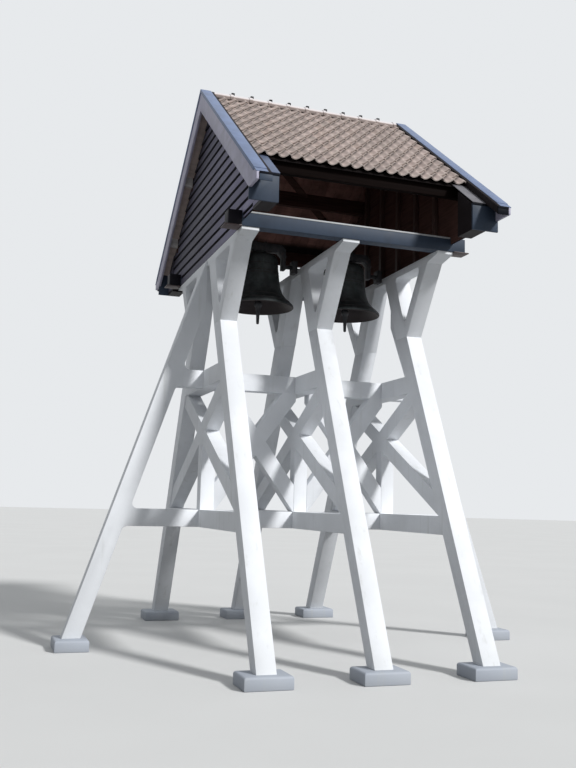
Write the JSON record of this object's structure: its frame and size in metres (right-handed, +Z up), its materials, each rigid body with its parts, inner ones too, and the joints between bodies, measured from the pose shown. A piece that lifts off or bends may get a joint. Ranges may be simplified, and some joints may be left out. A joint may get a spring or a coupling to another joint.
{
  "type": "open bell tower",
  "caption": "White concrete bell stool of forked trestles and raking end legs, with a tiled roof box over bells that swing across the ridge.",
  "frame": {"origin": "on the ground, in the middle of the eight foot blocks", "axes": "+Z up, +X along the ridge to the right as seen from the front, +Y from front to back"},
  "size_m": [6.82, 6.2956, 8.1447],
  "materials": {
    "painted_concrete": "white masonry paint on smooth concrete",
    "roof_tiles": "matt weathered pantiles",
    "dark_boards": "dark stained weatherboards",
    "grey_boards": "light grey paint",
    "verge_cover": "blue-grey paint",
    "eave_paint": "dark blue-grey paint",
    "timber": "bare weathered timber",
    "bell_bronze": "dark bronze patina",
    "iron": "dark painted iron"
  },
  "bodies": {
    "frame": {"trestle_frame_left": "painted_concrete", "fork_head_left": "painted_concrete", "trestle_frame_middle": "painted_concrete", "fork_head_middle": "painted_concrete", "trestle_frame_right": "painted_concrete", "fork_head_right": "painted_concrete", "front_foot_blocks": "painted_concrete", "back_foot_blocks": "painted_concrete", "raking_foot_blocks": "painted_concrete", "bay_panel_left": "painted_concrete", "raking_frame_left": "painted_concrete", "gable_left": "dark_boards", "bargeboards_left": "grey_boards", "eave_boxes_left": "grey_boards", "fascias_left": "eave_paint", "gable_posts_left": "timber", "verge_left_front": "verge_cover", "verge_left_back": "verge_cover", "bay_panel_right": "painted_concrete", "raking_frame_right": "painted_concrete", "gable_right": "dark_boards", "bargeboards_right": "grey_boards", "eave_boxes_right": "grey_boards", "fascias_right": "eave_paint", "gable_posts_right": "timber", "verge_right_front": "verge_cover", "verge_right_back": "verge_cover", "sill_front": "eave_paint", "roof_tiles_front": "roof_tiles", "roof_boards_front": "timber", "purlins_front": "timber", "sill_back": "eave_paint", "roof_tiles_back": "roof_tiles", "roof_boards_back": "timber", "purlins_back": "timber", "ridge_beam": "timber", "ridge_tiles": "roof_tiles", "bearings": "iron"},
    "bell_left": {"bell_left": "bell_bronze", "yoke_left": "iron"},
    "clapper_left": {"clapper_left": "iron"},
    "bell_right": {"bell_right": "bell_bronze", "yoke_right": "iron"},
    "clapper_right": {"clapper_right": "iron"}
  },
  "joints": [
    {"name": "bell_left_swing", "type": "hinge", "parent": "frame", "child": "bell_left", "pos_m": [-0.7, 0, 5.54], "axis": [1, 0, 0], "range_deg": [-60, 60]},
    {"name": "clapper_left_swing", "type": "hinge", "parent": "bell_left", "child": "clapper_left", "pos_m": [-0.7, 0, 5.582], "axis": [1, 0, 0], "range_deg": [-24, 24]},
    {"name": "bell_right_swing", "type": "hinge", "parent": "frame", "child": "bell_right", "pos_m": [0.7, 0, 5.54], "axis": [1, 0, 0], "range_deg": [-60, 60]},
    {"name": "clapper_right_swing", "type": "hinge", "parent": "bell_right", "child": "clapper_right", "pos_m": [0.7, 0, 5.582], "axis": [1, 0, 0], "range_deg": [-24, 24]}
  ]
}
